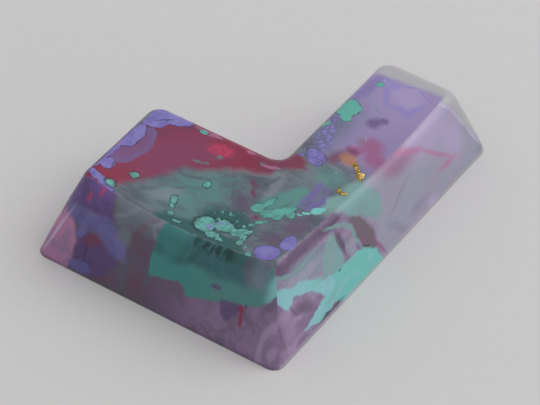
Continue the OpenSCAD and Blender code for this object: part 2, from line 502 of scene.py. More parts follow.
# The dished top seen from above, in millimetres and degrees, with spots written as Paint.reach takes them
topSpots = dict(
    paleSmoke=[
        ((-0.6, -6.6), (4.2, -4.6), 0.5), ((4.5, -4.4), (4.9, -8.6), 0.45), (-3.6, -12, 1.6, 0.9, 40),
    ],
    tealSmoke=[(-1.2, -10.6, 3.6, 2.1, 38), (8, -1.6, 1.4, 1.2), (0.6, -13.4, 3.4, 1)],
    darkSmoke=[
        (3.2, -9.6, 1.5, 0.8, -40), (9, -9.4, 1.2, 1.8), (8.4, -12.4, 0.9, 1.6, 30), (3.8, 2.2, 0.5, 2.2),
    ],
    shadeLines=[
        ((-3.6, -10.9), (-0.8, -9.8), 0.2), ((-3.4, -9.4), (-0.7, -8.4), 0.16),
        ((1.4, -7.8), (2.2, -9.6), 0.15), ((-6.2, -13.8), (-4.2, -11.4), 0.2),
    ],
    tealLines=[
        ((-3.8, -9.9), (-1, -8.9), 0.12), ((-4.4, -10.9), (-0.6, -9.8), 0.1),
        ((-0.6, -8), (1.6, -7.2), 0.14), ((0.6, -9.4), (2, -8), 0.12), ((-2.6, -11.6), (0.4, -10.6), 0.1),
        ((-5, -12.4), (-3.4, -10.8), 0.12),
    ],
    greenFront=[
        ((-3.4, -16), (-2.4, -14.2), (1, -13.6), (5.6, -13.8), (7.4, -15.2), (7.6, -16)),
        (3.4, -11.9, 2.6, 1.3),
    ],
    plumHaze=[(-5.6, -8.2, 3, 4.2, -30), (-4, -6.4, 3.2, 1.5, 20)],
    legCrimson=[((3, -1.1), (4.7, -1.3), (5.7, -2.4), (4.6, -3.6), (3, -4.5))],
    crimsonDark=[(3.6, -3, 2.6, 2.2, 30), (-8.2, -6, 0.5, 1.1, -50), (-6.6, -4.4, 1.6, 0.4, 30)],
    roseLace=[(-2.2, -4.95, 1.3, 0.75, 8)],
    pinkEdge=[(-4.4, -3.6, 1.5, 0.3), (0.3, -3.6, 0.5, 0.25), (2.9, -4.2, 0.9, 0.2, 20)],
    wineSpot=[(2.9, -6.9, 0.5, 0.3, -20), (3.5, -7.9, 0.6, 0.25, -50), (5.2, -10.2, 0.4, 0.3)],
    tealBand=[((4.1, -9.4), (4.6, -8), (6.8, -4.2), (8, -4.4), (7.6, -7.6), (6.6, -9.4), (5.4, -9.9))],
    tealFringe=[
        (4.7, -9.2, 0.6, 0.6, 20), (5.9, -9.3, 0.75, 0.5, 40), (6.7, -8.9, 0.5, 0.7, 20),
        (7.6, -8.3, 0.5, 0.45), ((4.9, -9), (5.4, -7.6), 0.3), ((6.2, -9), (7.4, -7.4), 0.4),
        ((5.5, -11), (6.3, -10.2), 0.16),
    ],
    paleEdge=[(10.2, -2.6, 0.8, 3.1, -4), (9.6, -4.4, 0.6, 1.3)],
    lilacBand=[((7.4, -2.6), (8.6, -2.8), (9.3, -5), (8.8, -6.4), (7.5, -7.2), (7.3, -5))],
    turquoiseStreak=[(9.2, -6.1, 0.35, 0.8, -25), (8.6, -7.1, 0.4, 0.2, 30), (8.2, -7.7, 0.25, 0.15)],
    magentaHaze=[(8.4, 4.4, 1.2, 1.2), (9.7, 3.3, 1.6, 1, -15), (7.6, 3.2, 0.9, 0.6, 45)],
    redEdge=[(6.8, 1.2, 0.6, 1.2, -10), (7.4, 2.6, 0.6, 0.5)],
    orangeSpot=[(7.8, 1.6, 0.85, 0.7)],
    lilacVeil=[(-9.2, -9, 1.5, 3, -4)],
    lilacPatch=[
        (-9, -3.7, 2.7, 1.1, 4), (-9.5, -4.8, 1.5, 1.2, 40), (-10.1, -8, 1.1, 1.9),
        (-10.4, -10.6, 0.45, 3.2), (-9.6, -12.6, 0.65, 0.75), ((-10.2, -14.4), (-7.7, -14.9), 0.45),
    ],
    mainCrack=[((-9.4, -5), (-8.1, -3.9), 0.1), ((-9.3, -12), (-8.9, -13.2), 0.08)],
    laceStrip=[((4, 4), (5.1, 0.8), 0.75), ((3.9, 9.6), (4, 12.6), 0.7), (3.7, 5, 0.5, 1.2)],
    rosette=[(5.2, -0.2, 1.05, 0.8), (5.5, -0.9, 0.7, 0.6), (4.2, -1, 0.4, 0.2)],
    endLilac=[(5.4, 12.9, 1, 0.6, -20), (7.6, 12.6, 1.6, 1.5)],
    endLines=[
        ((5, 12.6), (6.5, 10.2), 0.3), ((6.4, 10.1), (7.9, 10.7), 0.2), ((7.6, 10.7), (8.9, 10.4), 0.42),
        ((8.7, 10.6), (9.3, 11.9), 0.34), ((4.6, 13.3), (6.2, 12.9), 0.3), ((6.2, 13.2), (7.8, 14), 0.14),
        ((7.8, 14), (9.2, 13.2), 0.12), (5.6, 12.7, 0.5, 0.35),
    ],
    violetSmudge=[(7, 7.4, 0.6, 0.9, -20), (7.5, 8.2, 0.4, 0.4)],
    tealCells=[
        (1.7, -13.3, 1, 0.95), (3.3, -12.7, 0.95, 0.72), (4.9, -12.9, 1, 0.45), (5.3, -12.4, 0.6, 0.35, 10),
        (3, -14.2, 0.7, 0.34), (3.9, -14.4, 0.4, 0.25), (5.8, -13.8, 0.3, 0.4), (6.6, -14.3, 0.2, 0.3),
        (-0.8, -9.2, 0.36, 0.36), (-7, -12.1, 0.42, 0.34), (-8.1, -14.4, 0.52, 0.4),
        (-2.4, -12.3, 0.3, 0.5, 15), (-2.2, -13.1, 0.3, 0.2), (-1.7, -13.9, 0.3, 0.24),
        (-0.7, -14.4, 0.42, 0.16), (-4.9, -3.75, 0.5, 0.26), (7.4, -15, 0.28, 0.22),
    ],
    greyCells=[
        (-3.2, -7.3, 0.6, 0.18, 12), (-1.8, -5.8, 0.3, 0.26), (2, -4.3, 0.24, 0.24),
        (-2.4, -7, 0.3, 0.14, 20),
    ],
    speckField=[(3.6, -11.8, 2.6, 1.2), (5.4, -12.6, 1.4, 1.2)],
    cellHearts=[(2.2, -13.4, 0.3, 0.36), (2.8, -12.6, 0.3, 0.16, 20), (3.5, -12.2, 0.3, 0.1, 10)],
    tealBlob=[
        (3.9, 7.4, 1.15, 1.35), (4.5, 6.2, 0.6, 0.6), (4.8, 7.9, 0.35, 0.5), (3.5, 4.3, 0.3, 0.5),
        (4.6, 12.2, 0.35, 0.4),
    ],
    ovals=[(8.8, -14, 1.25, 1.15), (9.7, -11.8, 0.72, 1.25, 12)],
)


def paintTop(p, x, y):
    c, s = pigment, topSpots
    plan = p.flat(x, y)
    loose = p.warp(p.warp(plan, 0.35, 0.55), 1.1, 0.3)
    crisp = p.warp(p.warp(plan, 0.9, 0.22), 2.6, 0.26, 4)
    swirl = p.noise(p.mapped(p.warp(plan, 0.3, 1.6), -36, (0.3, 0.62)), 1.0, 5, 0.62)
    row = p.blend(swirl, 0.36, 0.64, c["smokeDark"], c["smoke"])
    tealTone = p.blend(swirl, 0.42, 0.6, c["smokeTeal"], c["tealSoft"])
    row = p.layer(row, loose, s["tealSmoke"], 0.7, 0.85, tealTone)
    row = p.layers(row, s, c, (
        (loose, "paleSmoke", 0.6, 0.6, "smokePale"),
        (loose, "darkSmoke", 0.6, 0.65, "mauveDark"),
        (loose, "shadeLines", 0.6, 0.6, "smokeDark"),
        (loose, "tealLines", 0.8, 0.4, "tealSoft"),
        (loose, "greenFront", 0.4, 1, "tealDeep"),
    ))
    leg = p.blend(x + swirl * 2, 5.2, 8.2, c["haze"], c["lilacHaze"])
    leg = p.blend(y + swirl * 5, 7, 14, leg, c["endHaze"])
    leg = p.mix(p.ramp(swirl, 0.56, 0.7) * 0.5, leg, c["smokeTeal"])
    tone = p.blend(y + swirl * 3, 0.8, 4.2, row, leg)

    # Crimson field behind the row's smoke
    lower = p.beyond(loose, (-7.8, -14.4), (-3.8, -8.6), 0.6)
    lower = lower.most(p.beyond(loose, (-5, -9.2), (5.4, -3.9), 0.6))
    field = (lower * p.ramp(x + y * 0.3, 2.4, 1.7)).most(p.spots(loose, s["legCrimson"], 0.4))
    red = p.mix(p.spots(loose, s["plumHaze"], 0.75), c["crimson"], c["plum"])
    red = p.layer(red, loose, s["crimsonDark"], 0.6, 0.6, c["wine"])
    tone = p.mix(field * 0.96, tone, red)
    tone = p.layer(tone, crisp, s["pinkEdge"], 0.3, 0.6, c["pinkMauve"])
    ringed = p.ramp((p.noise(crisp, 1.7, 3) - 0.5).size(), 0.09, 0.02)
    tone = p.mix(p.spots(crisp, s["roseLace"], 0.3) * (0.45 + ringed * 0.55), tone, c["rose"])
    tone = p.layer(tone, loose, s["wineSpot"], 0.6, 0.85, c["wine"])

    # Teal, turquoise and lilac bands towards the right edge
    comb = p.noise(p.mapped(p.warp(plan, 1.5, 0.2), 30, (2.2, 0.8)), 1.0, 3)
    tone = p.mix(p.spots(loose, s["tealBand"], 0.35) * p.ramp(comb, 0.3, 0.5, 0.55, 1), tone, c["tealSoft"])
    fringe = p.reaches(crisp, s["tealFringe"])
    # Painted shade: a dark rim round the teal fringe
    tone = p.mix(p.ramp(fringe, 1.3, 1.05) * 0.45, tone, c["tealBlackAndShade"])
    tone = p.blend(fringe, 1.05, 0.85, tone, p.blend(comb, 0.35, 0.6, c["tealSoft"], c["teal"]))
    tone = p.layer(tone, loose, s["paleEdge"], 0.4, 0.9, c["turquoisePale"])
    torn = p.ramp(p.noise(p.mapped(crisp, 20, (1.5, 0.5)), 1.0, 2), 0.38, 0.54, 0.25, 1)
    tone = p.mix(p.spots(crisp, s["lilacBand"], 0.25) * torn, tone, c["lilacDull"])
    tone = p.layers(tone, s, c, (
        (crisp, "turquoiseStreak", 0.2, 1, "turquoise"),
        (loose, "magentaHaze", 0.6, 0.85, "magenta"),
        (loose, "redEdge", 0.6, 0.8, "wine"),
        (crisp, "orangeSpot", 0.5, 0.85, "orange"),
    ))

    # Opaque lilac over the back left corner, ringed with painted shade, with a few dark cracks
    lilac = p.blend(p.noise(plan, 0.9, 4), 0.35, 0.65, c["lilac"], c["lilacPale"])
    veil = p.reaches(p.warp(plan, 0.7, 0.25), s["lilacVeil"])
    tone = p.mix(p.ramp(veil, 1.02, 0.97) * p.ramp(veil, 0.4, 1.0, 0.5, 0.72), tone, c["lilacDull"])
    patch = p.reaches(crisp, s["lilacPatch"])
    tone = p.mix(p.ramp(patch, 1.12, 1.0) * 0.7, tone, c["crackAndShade"])
    tone = p.blend(patch, 1.0, 0.95, tone, lilac)
    tone = p.layer(tone, crisp, s["mainCrack"], 0.3, 0.8, c["crackAndShade"])

    # Lilac lace along the notch side of the leg, the rosette, and threads near its end
    strip = p.spots(loose, s["laceStrip"], 0.45)
    crumbs = p.cells(crisp, 2.4)
    tone = p.mix(strip * 0.55, tone, c["lilacDull"])
    tone = p.mix(strip * p.ramp(crumbs, 0.5, 0.36), tone, c["lilacPale"])
    rosette = p.reaches(crisp, s["rosette"])
    petals = p.ramp((p.noise(crisp, 2.2, 2) - 0.5).size(), 0.02, 0.05)
    # Painted shade: a dark rim round the rosette
    tone = p.mix(p.ramp(rosette, 1.12, 0.98) * 0.8, tone, c["crackAndShade"])
    tone = p.mix(p.ramp(rosette, 1.0, 0.92) * (0.45 + petals * 0.55), tone, lilac)
    tone = p.layer(tone, loose, s["endLilac"], 0.5, 0.35, c["lightLilac"])
    tone = p.mix(p.spots(p.warp(plan, 1.3, 0.3, 4), s["endLines"], 0.5) * 0.6, tone, c["lilacPale"])
    tone = p.layer(tone, crisp, s["violetSmudge"], 0.6, 0.7, c["violet"])

    # Teal cells, the teal blob and the two lilac ovals, each ringed with painted shade
    cell = p.reaches(crisp, s["tealCells"])
    speck = p.cells(crisp, 1.9)
    chosen = p.ramp(p.noise(loose, 1.2, 2), 0.42, 0.46) * p.spots(loose, s["speckField"], 0.3)
    # The dark ring round each cell and speck is painted shade
    rim = p.ramp(cell, 1.5, 1.15).most(p.ramp(speck, 0.5, 0.4) * chosen)
    body = p.ramp(cell, 1.05, 0.95).most(p.ramp(speck, 0.38, 0.32) * chosen)
    tone = p.layer(tone, crisp, s["greyCells"], 0.2, 0.7, c["smokeTeal"])
    tone = p.mix(rim * 0.7, tone, c["tealBlackAndShade"])
    tone = p.mix(body, tone, p.blend(p.noise(plan, 2.5), 0.35, 0.65, c["tealSoft"], c["cell"]))
    tone = p.layer(tone, crisp, s["cellHearts"], 0.3, 0.8, c["lilacPale"])
    blob = p.reaches(crisp, s["tealBlob"])
    # Painted shade: a dark rim round the teal blob
    tone = p.mix(p.ramp(blob, 1.14, 1.0) * 0.6, tone, c["tealBlackAndShade"])
    tone = p.blend(blob, 1.0, 0.94, tone, c["teal"])
    ovals = p.reaches(p.warp(plan, 0.9, 0.14), s["ovals"])
    # Painted shade: a dark rim round the lilac ovals
    tone = p.mix(p.ramp(ovals, 1.1, 0.99) * 0.6, tone, c["crackAndShade"])
    tone = p.blend(ovals, 1.0, 0.94, tone, p.blend(ovals, 0.6, 0.95, lilac, c["lilac"]))
    return p.mix(p.ramp(y + x * -0.1 + swirl * 0.5, 13.1, 13.9) * 0.92, tone, c["clear"])


# Front wall, with x along it and z up
frontSpots = dict(
    smoke=[((-7.2, 9.4), (-6, 6.2), (-1.6, 6.8), (-1, 9.4)), (-4.9, 5.6, 0.8, 1)],
    paleArcs=[
        ((-6.3, 7), (-4.4, 7.9), 0.22), ((-2.4, 7.8), (-0.6, 8.2), 0.2), ((-1.9, 7.6), (-1.3, 6.4), 0.2),
    ],
    wine=[
        ((-3.7, 6), (-2.3, 8), 0.3), ((-3.2, 5.2), (-1.9, 4.6), 0.3), (-2.4, 1.8, 1.2, 0.9),
        (-5.9, 0.8, 1, 0.4, 20),
    ],
    greyFold=[
        ((-3.9, 0.4), (-4, 3.6), 0.3), ((-1.6, 1.6), (-1.3, 3.6), 0.25), ((-8.2, 1.1), (-4.4, 2.4), 0.3),
    ],
    pinkEnd=[((-13.4, 0), (-9.6, 0), (-9.6, 3.6), (-10.4, 5.2), (-11.4, 5.6), (-12.6, 3))],
    purpleTop=[((-11, 9.6), (-11.6, 6.2), (-6.2, 6.2), (-7.3, 9.6))],
    violet=[((-9.6, 0.2), (-9.4, 4.4), (-5.6, 3.8), (-4.8, 2.4), (-6.6, 0.4))],
    wineFold=[(-7.7, 3.9, 1.2, 0.6, 20)],
    indigo=[
        ((-11.7, 6.3), (-6.3, 6.4), (-6.4, 4.5), (-9.6, 4.5), (-11.2, 5.3)),
        ((-7.6, 6.2), (-6.2, 6.3), (-4.3, 4.4), (-4.1, 3.2), (-5.7, 3.2), (-7.6, 4.6)),
        (-9.2, 4.2, 0.5, 0.8, -20), (-8.7, 0.8, 1.3, 0.6),
    ],
    violetLine=[((-8.4, 1.6), (-8.4, 3), 0.14), ((-8.4, 1.5), (-7.6, 1.5), 0.12)],
    redStreaks=[(-8.25, 8.4, 0.22, 0.45), (-9.1, 7.5, 0.18, 0.55, -10)],
    lilacDrop=[(-8.4, 9.5, 1.6, 0.4)],
    # Painted highlight line down the rounded front left corner
    highlightLine=[((-10.9, 5.2), (-12.5, 1.2), 0.13)],
    block=[
        ((-1.1, 10), (-1.7, 6), (-1.5, 3.3), (0.6, 3.7), (1.9, 4), (1.9, 10)),
        ((1.6, 10), (1.6, 4), (2.8, 2.9), (4.4, 3.4), (10.2, 5.1), (11.4, 6.6), (11, 10)),
    ],
    deepPart=[
        ((-1, 10), (-1.6, 5.6), (0.2, 5.4), (2, 5.6), (2, 10)),
        ((1.6, 10), (1.6, 5.6), (4.4, 5.6), (8, 6.4), (10, 6.6), (10.2, 10)),
    ],
    darkTop=[((1.4, 9.4), (1.7, 8.2), (3.4, 7.7), (6.2, 7.8), (6.6, 9.4))],
    purpleCorner=[(8.1, 8.1, 0.5, 1.4, 8), (9.3, 9, 1, 0.4)],
    paleCorner=[(9.6, 7.2, 1.2, 1.6)],
    brightTeal=[(1, 4.6, 2.4, 0.8), (0, 7.4, 1.4, 1.6)],
    blueEnd=[(11.2, 7, 0.9, 1.4, -10)],
    darkOvals=[
        (5.4, 5.1, 0.55, 0.24, 12), ((6, 4.2), (6.4, 2.9), (7.1, 2.5), (7.9, 3.4), (8.2, 4.6)),
        (8.8, 4.7, 0.18, 0.18),
    ],
    drip=[(8.35, 4.2, 0.32, 0.36), ((8.4, 3.9), (8.75, 2.5), 0.16)],
    arches=(12.3, 1.4, 1, 1.9),
)


def arches(p, tone, place, spot, swirl, reach, share):
    # Curved bands round the front right corner's foot
    arch = p.reach(place, spot)
    bands = p.ramp(p.maths("SINE", arch * 5.5 + swirl * 2), -0.9, 0.9)
    return p.mix(p.ramp(arch, *reach) * share, tone, p.mix(bands, pigment["mauve"], pigment["mauvePale"]))


def paintFront(p, x, z):
    c, s = pigment, frontSpots
    plan = p.flat(x, z)
    loose = p.warp(p.warp(plan, 0.4, 0.5), 1.2, 0.25)
    crisp = p.warp(p.warp(plan, 0.7, 0.25), 2.2, 0.1)
    swirl = p.noise(p.mapped(p.warp(plan, 0.35, 1.3), 12, (0.5, 0.42)), 1.0, 5, 0.62)
    tone = p.blend(x + swirl * 4, -1, 9, c["mauveDark"], c["mauve"])
    tone = p.mix(p.ramp(swirl, 0.4, 0.62) * 0.7, tone, c["murk"])
    tone = p.mix(p.ramp(x, 0.2, -1.4) * 0.7, tone, c["murk"])
    tone = p.layers(tone, s, c, (
        (loose, "smoke", 0.6, 0.8, "smoke"),
        (loose, "wine", 0.8, 0.38, "wine"),
        (loose, "greyFold", 0.6, 0.6, "smokeDark"),
        (loose, "paleArcs", 0.8, 0.5, "smokePale"),
    ))
    pink = p.blend(swirl, 0.3, 0.75, c["pinkMauve"], c["mauve"])
    purple = p.blend(swirl, 0.4, 0.6, c["purple"], c["violet"])
    indigo = p.blend(swirl, 0.4, 0.6, c["indigo"], c["lilacDull"])
    tone = p.layer(tone, loose, s["pinkEnd"], 0.35, 1, pink)
    tone = p.layer(tone, loose, s["purpleTop"], 0.3, 1, purple)
    tone = p.layers(tone, s, c, (
        (loose, "violet", 0.4, 1, "violet"),
        (loose, "wineFold", 0.5, 0.8, "wine"),
    ))
    tone = p.layer(tone, crisp, s["indigo"], 0.32, 0.9, indigo)
    tone = p.layers(tone, s, c, (
        (crisp, "violetLine", 0.6, 0.6, "crackAndShade"),
        (loose, "redStreaks", 0.6, 0.6, "rose"),
        (crisp, "lilacDrop", 0.3, 0.8, "lilac"),
    ))
    # Painted highlight down the rounded front left corner
    tone = p.mix(p.spots(p.warp(plan, 0.6, 0.15), s["highlightLine"], 0.9) * 0.6, tone, c["paintedHighlight"])

    # Deep teal block with a brighter band along its wavy lower edge
    block = p.spots(p.warp(crisp, 1.2, 0.3), s["block"], 0.18)
    drips = p.noise(p.mapped(p.warp(plan, 1.6, 0.3), 0, (2.4, 0.9)), 1.0, 3)
    deep = p.blend(swirl, 0.4, 0.6, c["tealDeep"], c["corner"])
    dark = p.spots(loose, s["darkTop"], 0.5) * p.ramp(drips, 0.44, 0.56, 0.15, 1)
    deep = p.mix(dark, deep, c["tealBlackAndShade"])
    deep = p.layers(deep, s, c, (
        (loose, "purpleCorner", 0.5, 0.6, "murk"),
        (loose, "paleCorner", 0.8, 0.4, "blueHaze"),
    ))
    band = p.mix(p.ramp(x + swirl * 4, 3, 8) * 0.5, c["tealBand"], c["smokeTeal"])
    deep = p.mix(p.spots(loose, s["deepPart"], 0.5), band, deep)
    deep = p.layers(deep, s, c, (
        (loose, "brightTeal", 0.6, 0.6, "tealBand"),
        (loose, "blueEnd", 0.6, 0.6, "turquoiseBlue"),
    ))
    tone = p.mix(block, tone, deep)
    tone = p.layers(tone, s, c, (
        (crisp, "darkOvals", 0.2, 0.75, "violet"),
        (crisp, "drip", 0.4, 0.85, "crimson"),
    ))
    tone = arches(p, tone, p.warp(plan, 0.5, 0.3), s["arches"], swirl, (2.4, 1.6), 0.75)
    return p.mix(p.ramp(z + swirl * 0.4, 0.7, 0.3) * 0.5, tone, c["murk"])


# Right wall, with y along it and z up
sideSpots = dict(
    lilac=[(9.6, 7.2, 4.6, 2.2, -10), (13.2, 4.6, 1.6, 2.6, 20), (8.5, 0.6, 0.8, 0.6)],
    bluePale=[(6.2, 3.6, 3.4, 1.9, 20)],
    darkPale=[((1.8, 2.4), (3.6, 0.8), 0.4), ((2, 3.4), (5.6, 5.2), 0.2), (6.2, 1.6, 1.4, 0.4)],
    tealEnd=[((-18.8, 10), (-18.8, 8), (-17.2, 6.9), (-16.4, 7.2), (-16, 10))],
    # Dark mauve folds, the middle one painted shade under the turquoise flow
    mauveFoldAndShade=[
        ((-17.6, 5.2), (-16.8, 1), 0.35), ((-13.6, 3.8), (-11.8, 2.8), 0.6),
        ((-14.8, 4.6), (-14.2, 3.6), 0.2),
    ],
    mauveLight=[(-15.6, 2.8, 1, 1.6), (-16.4, 1, 1.2, 0.6)],
    greyField=[(-11, 6.2, 4.2, 1.6, -8), (-10.6, 4.6, 2, 1, -20)],
    topShade=[((-15.4, 9.2), (-15, 8), (-11, 7.8), (-5.2, 7.4), (-4.8, 8.2), (-6.2, 9.4))],
    paleFall=[
        ((-6.4, 10), (-5.4, 8.4), (-4.4, 7.6), (-2.6, 6.5), (-0.2, 7.8), (-0.6, 10)),
        ((-2.7, 6.6), (-0.6, 8.4), (1, 6.4), (0.8, 4.6), (-0.4, 4.7)),
    ],
    lobe=[((-9.6, 3), (-8.8, 6.2), (-7.4, 7.3), (-6.5, 7.1), (-5.9, 5.8), (-6, 3))],
    flow=[
        ((-17.4, 7.6), (-14.4, 6.6), (-13.9, 5), (-15.2, 4.5), (-16.2, 5.8)),
        ((-15, 6.7), (-11.6, 5.5), (-9.8, 4.4), (-10.8, 3.6), (-12.6, 4.5), (-14.6, 4.8)),
        ((-12, 5.4), (-8.8, 3.9), (-6.8, 3.5), (-7.4, 1.8), (-9.6, 2.3), (-11.2, 3.9)),
        (
            (-9.8, 2.9), (-7.6, 3.4), (-4.4, 3.4), (-2.3, 2.9),
            (-1.2, 1.8), (-0.4, -0.2), (-6.6, -0.2), (-8.8, 1),
        ),
        ((-14, 1.5), (-11.4, 2.1), (-9, 2.9), (-7.2, 1.9), (-8.4, 0.9), (-11.4, 0.7)),
    ],
    streaks=[
        ((-8.8, 3.6), (-7.2, 6.6), 0.16), ((-7.9, 3.8), (-6.6, 6.4), 0.12), ((-12.6, 5.6), (-9.8, 6), 0.14),
        ((-10.2, 1.4), (-7.6, 2.2), 0.14), ((-15.4, 7.8), (-12.4, 6.6), 0.2),
    ],
    arches=(-19.3, 1.4, 1, 1.9),
    thinFlow=[
        ((-16, 8.2), (-13.4, 7.3), 0.22), ((-13.6, 7.3), (-9.4, 7.3), 0.16), ((-7.4, 8), (-5.2, 7.2), 0.2),
        ((-5.3, 7.3), (-3.9, 5.8), 0.26), ((-4, 6), (-3.3, 3.4), 0.2), ((-5.1, 5.6), (-5.4, 4.4), 0.12),
    ],
    islands=[(-11.4, 6.3, 1.6, 0.5, -6), (-14.2, 6.9, 0.8, 0.2), (-4.5, 4.3, 0.7, 1)],
    crescent=[((-6.3, 6.9), (-5.6, 4.6), 0.36), ((-8.6, 8.2), (-5.2, 7.8), 0.25)],
    brown=[((-4, 7), (-2.6, 6.4), (-1.4, 5.2), (-0.8, 3.4), (-0.9, 1.8), (-3, 3.1), (-3.6, 5))],
    # Dark dots, and a painted shade line under the turquoise tongue
    darkDotsAndShadeLine=[(-6.8, 3.2, 0.25, 0.12), ((-3, 3.3), (-2, 2.7), 0.12), ((-11.4, 0.6), (-7.4, 0.5), 0.2)],
    redLine=[((-1.1, 2.9), (0.1, 0.5), 0.2), (-2.7, 3.7, 0.25, 0.3)],
    magentaHaze=[(2.2, 8.8, 1.2, 1.2), (4.4, 7.4, 2.4, 1.1, -18)],
    roseCurve=[((5, 8), (8.4, 6.4), 0.3), ((8.3, 6.4), (12.6, 2.9), 0.22), ((12.8, 2.6), (11, 2.6), 0.3)],
    # Painted highlight line down the rounded corner at the leg's far end
    highlightLine=[
        ((12.2, 9.2), (14, 7.4), 0.14), ((13.8, 7.6), (15.8, 4.2), 0.14), ((15.7, 4.3), (17.2, 1.6), 0.14),
    ],
    endShade=[(17.3, 0.9, 0.6, 0.5, -30)],
)


def paintSide(p, y, z):
    c, s = pigment, sideSpots
    plan = p.flat(y, z)
    loose = p.warp(p.warp(plan, 0.35, 0.5), 1.1, 0.25)
    crisp = p.warp(p.warp(plan, 0.55, 0.5), 1.8, 0.2, 4)
    soft = p.warp(plan, 0.6, 0.2)
    swirl = p.noise(p.mapped(p.warp(plan, 0.3, 1.4), 26, (0.26, 0.6)), 1.0, 5, 0.62)
    pale = p.blend(swirl, 0.4, 0.62, c["greyLilac"], c["blueHaze"])
    pale = p.layers(pale, s, c, (
        (loose, "bluePale", 0.6, 0.7, "blueHaze"),
        (loose, "lilac", 0.6, 0.8, "lightLilac"),
        (loose, "darkPale", 0.8, 0.35, "mauve"),
    ))
    tone = p.blend(y + swirl * 2, -1.4, 1.4, p.blend(swirl, 0.4, 0.6, c["mauve"], c["mauvePale"]), pale)
    tone = p.layers(tone, s, c, (
        # Dark mauve folds, partly painted shade under the turquoise flow
        (loose, "mauveFoldAndShade", 0.7, 0.7, "mauveDark"),
        (loose, "mauveLight", 0.7, 0.6, "mauvePale"),
    ))
    grey = p.blend(swirl, 0.4, 0.6, c["greyTeal"], c["blueHaze"])
    tone = p.layer(tone, loose, s["greyField"], 0.5, 0.8, grey)
    shade = p.spots(loose, s["topShade"], 0.4) * p.ramp(swirl, 0.36, 0.56, 0.35, 0.85)
    tone = p.mix(shade, tone, c["mauveDark"])
    tone = p.layer(tone, crisp, s["tealEnd"], 0.25, 0.9, c["corner"])
    fall = p.blend(swirl, 0.38, 0.62, c["fallTeal"], c["turquoisePale"])
    tone = p.layer(tone, loose, s["paleFall"], 0.4, 0.92, fall)
    bright = p.blend(swirl + y * 0.03, 0.14, 0.34, c["turquoiseBlue"], c["turquoise"])
    tone = p.mix(p.spots(loose, s["lobe"], 0.35) * p.ramp(swirl, 0.3, 0.5, 0.55, 0.95), tone, c["fallTeal"])
    tone = p.mix(p.spots(crisp, s["flow"], 0.14), tone, bright)
    tone = p.layers(tone, s, c, (
        (loose, "streaks", 0.7, 0.45, "greyLilac"),
        (loose, "islands", 0.4, 0.8, "blueHaze"),
        (loose, "crescent", 0.5, 0.85, "mauveDark"),
        (crisp, "brown", 0.22, 1, "brown"),
        (crisp, "thinFlow", 0.5, 0.85, "turquoisePale"),
        # Dark dots, and painted shade under the turquoise tongue
        (crisp, "darkDotsAndShadeLine", 0.5, 0.7, "tealBlackAndShade"),
        (soft, "redLine", 0.8, 0.8, "magenta"),
        (soft, "magentaHaze", 0.7, 0.6, "magenta"),
        (soft, "roseCurve", 0.9, 0.7, "softRose"),
    ))
    end = p.beyond(soft, (12.4, 9.2), (15.9, 4.2), 0.2).least(p.beyond(soft, (15.7, 4.4), (17.8, 0.4), 0.2))
    tone = p.mix(end, tone, c["clear"])
    # Painted highlight down the rounded corner at the leg's far end
    tone = p.layers(tone, s, c, (
        (soft, "highlightLine", 0.9, 0.7, "paintedHighlight"),
        (soft, "endShade", 0.6, 0.35, "smoke"),
    ))
    tone = arches(p, tone, p.warp(plan, 0.5, 0.3), s["arches"], swirl, (2.6, 1.8), 0.6)
    return p.mix(p.ramp(z + swirl * 0.4, 0.8, 0.35) * 0.6, tone, c["clear"])


# The polished surface, with a faint painted highlight line along the top's front and right edges
polish = dict(
    grain=2.0, roughness=(0.3, 0.46), coat=0.08, coatRoughness=0.12, refraction=1.4,
    highlightWidth=(0.16, 0.03), highlightRise=(6.5, 7.5), highlightShare=0.1,
)


def resinShader(name, s, shape, pattern):
    # One casting needs three patterns: its top, its front and left walls, and its other walls
    p = Paint(name)
    place = p.vector("SCALE", p.own(), 1 / mm)
    x, y, z = p.apart(place)
    fine = p.noise(place, s["grain"], 4)
    tone = pattern(p, shape, x, y, z)
    # Painted highlight: a pale line where the top's front and right edges catch the light
    paintedHighlight = (-shape.topD - y).most(x - shape.topW)
    paintedHighlight = p.ramp(paintedHighlight.size(), *s["highlightWidth"]) * p.ramp(z, *s["highlightRise"]) * p.ramp(fine, 0.35, 0.6)
    tone = p.mix(paintedHighlight * s["highlightShare"], tone, pigment["paintedHighlight"])
    p.feed(p.shader.inputs["Base Color"], tone)
    p.feed(p.shader.inputs["Roughness"], p.ramp(fine, 0.3, 0.7, *s["roughness"]))
    p.feed(p.shader.inputs["Coat Weight"], s["coat"])
    p.feed(p.shader.inputs["Coat Roughness"], s["coatRoughness"])
    p.feed(p.shader.inputs["IOR"], s["refraction"])
    print(name, len(p.tree.nodes), "nodes")
    return p.material


def topPattern(p, shape, x, y, z):
    return paintTop(p, x, y)


# How the patterns run on over the walls that the photograph doesn't show, in millimetres
onward = dict(
    leftStart=-11.5, leftShift=17, leftStretch=0.45, backStart=8.6, backStretch=0.6,
    crimsonFrom=(6.5, 9.5), crimsonShare=0.9, lilacLeftOf=(-5.6, -6.6), lilacFrom=(4.5, 5.5),
    notchMargin=0.45,
)


def frontPattern(p, shape, x, y, z):
    # Turned round the front left corner on to the left wall
    s = onward
    onLeft = p.maths("GREATER_THAN", -shape.topW - x, -shape.topD - y)
    along = s["leftStart"] + (y + s["leftShift"]) * s["leftStretch"]
    return paintFront(p, x * (1 - onLeft) + along * onLeft, z)


